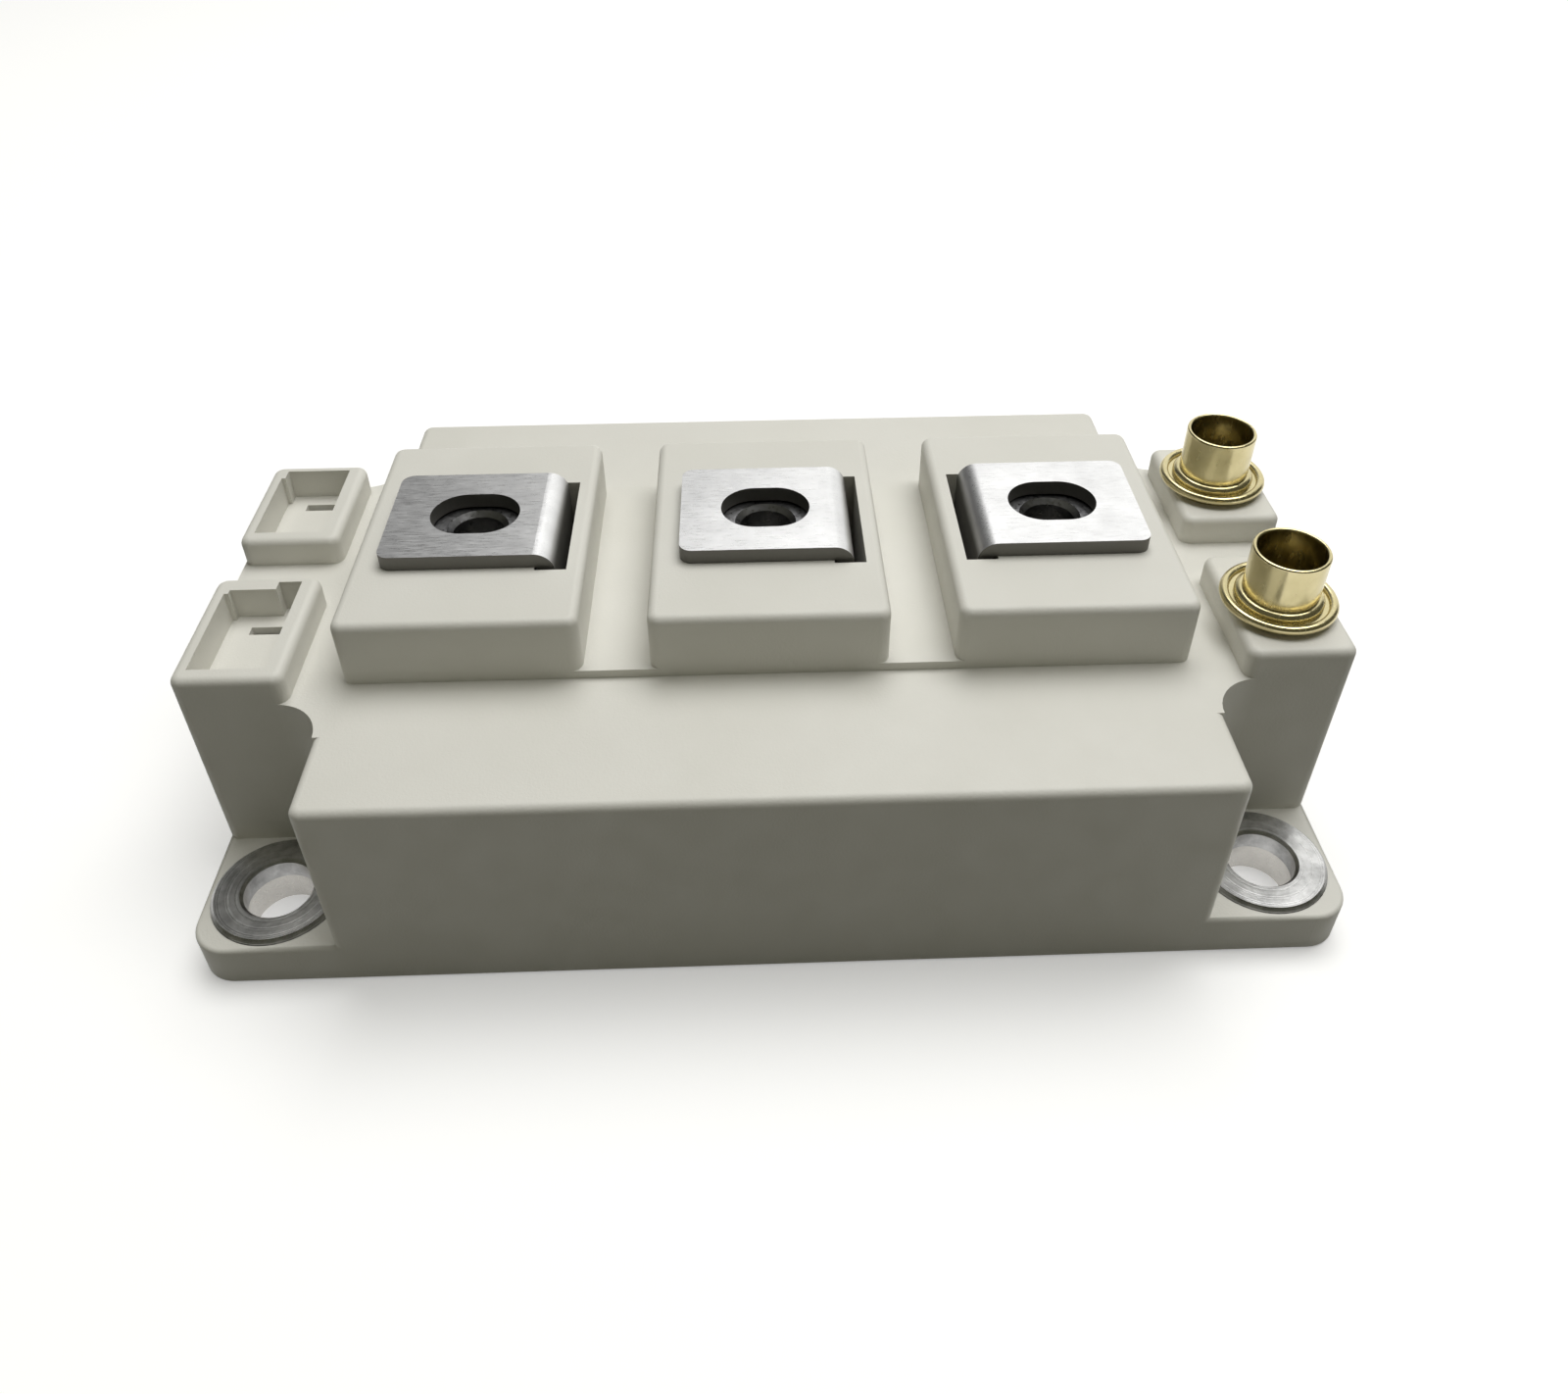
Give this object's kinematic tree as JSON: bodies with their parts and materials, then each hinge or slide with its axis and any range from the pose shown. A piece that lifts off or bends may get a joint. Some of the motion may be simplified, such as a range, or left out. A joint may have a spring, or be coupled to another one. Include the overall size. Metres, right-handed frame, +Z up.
{
  "type": "igbt module",
  "caption": "Half-bridge power module: flat base plate, ivory housing with bolt pads, raised blocks with screw tabs over nuts, contact pockets at one end, gold contact sleeves at the other.",
  "frame": {"origin": "centre of the base plate's underside", "axes": "+X runs along the row of terminals towards the contact sleeves, -Y is the front wall, +Z is up"},
  "size_m": [0.1064, 0.0614, 0.0317],
  "materials": {
    "ivory_plastic": "fine moulded texture",
    "nickel": "brushed",
    "nickel_copper": "satin nickel plating on copper",
    "cast_steel": "turned, grey",
    "dark_steel": "zinc plated, dark in its seat",
    "gold": "polished gold plating",
    "tin": "matt tin plating",
    "copper": "bare copper",
    "white_ceramic": "unglazed ceramic, modelled as a stiff plate",
    "silicon": "metallised chip top",
    "bond_wire": "bright",
    "clear_gel": "clear soft gel",
    "adhesive": "cured silicone"
  },
  "bodies": {
    "root": {"housing": "ivory_plastic", "base_plate": "nickel_copper", "adhesive_bead": "adhesive", "silicone_gel": "clear_gel", "bushing_front_left": "cast_steel", "bushing_front_right": "cast_steel", "bushing_rear_left": "cast_steel", "bushing_rear_right": "cast_steel", "terminal_left": "nickel", "terminal_middle": "nickel", "terminal_right": "nickel", "nut_left": "dark_steel", "nut_middle": "dark_steel", "nut_right": "dark_steel", "sleeve_front": "gold", "sleeve_rear": "gold", "sleeve_lead_front": "gold", "sleeve_lead_rear": "gold", "pocket_contact_front": "tin", "pocket_contact_rear": "tin", "ceramic_left": "white_ceramic", "bottom_copper_left": "copper", "collector_track_left": "copper", "emitter_track_left": "copper", "gate_track_left": "copper", "sense_track_left": "copper", "igbt_left_front": "silicon", "igbt_left_rear": "silicon", "diode_left_front": "silicon", "diode_left_rear": "silicon", "emitter_wires_left": "bond_wire", "signal_wires_left": "bond_wire", "ceramic_right": "white_ceramic", "bottom_copper_right": "copper", "collector_track_right": "copper", "emitter_track_right": "copper", "gate_track_right": "copper", "sense_track_right": "copper", "igbt_right_front": "silicon", "igbt_right_rear": "silicon", "diode_right_front": "silicon", "diode_right_rear": "silicon", "emitter_wires_right": "bond_wire", "signal_wires_right": "bond_wire", "link_front": "copper", "link_rear": "copper"}
  },
  "joints": []
}
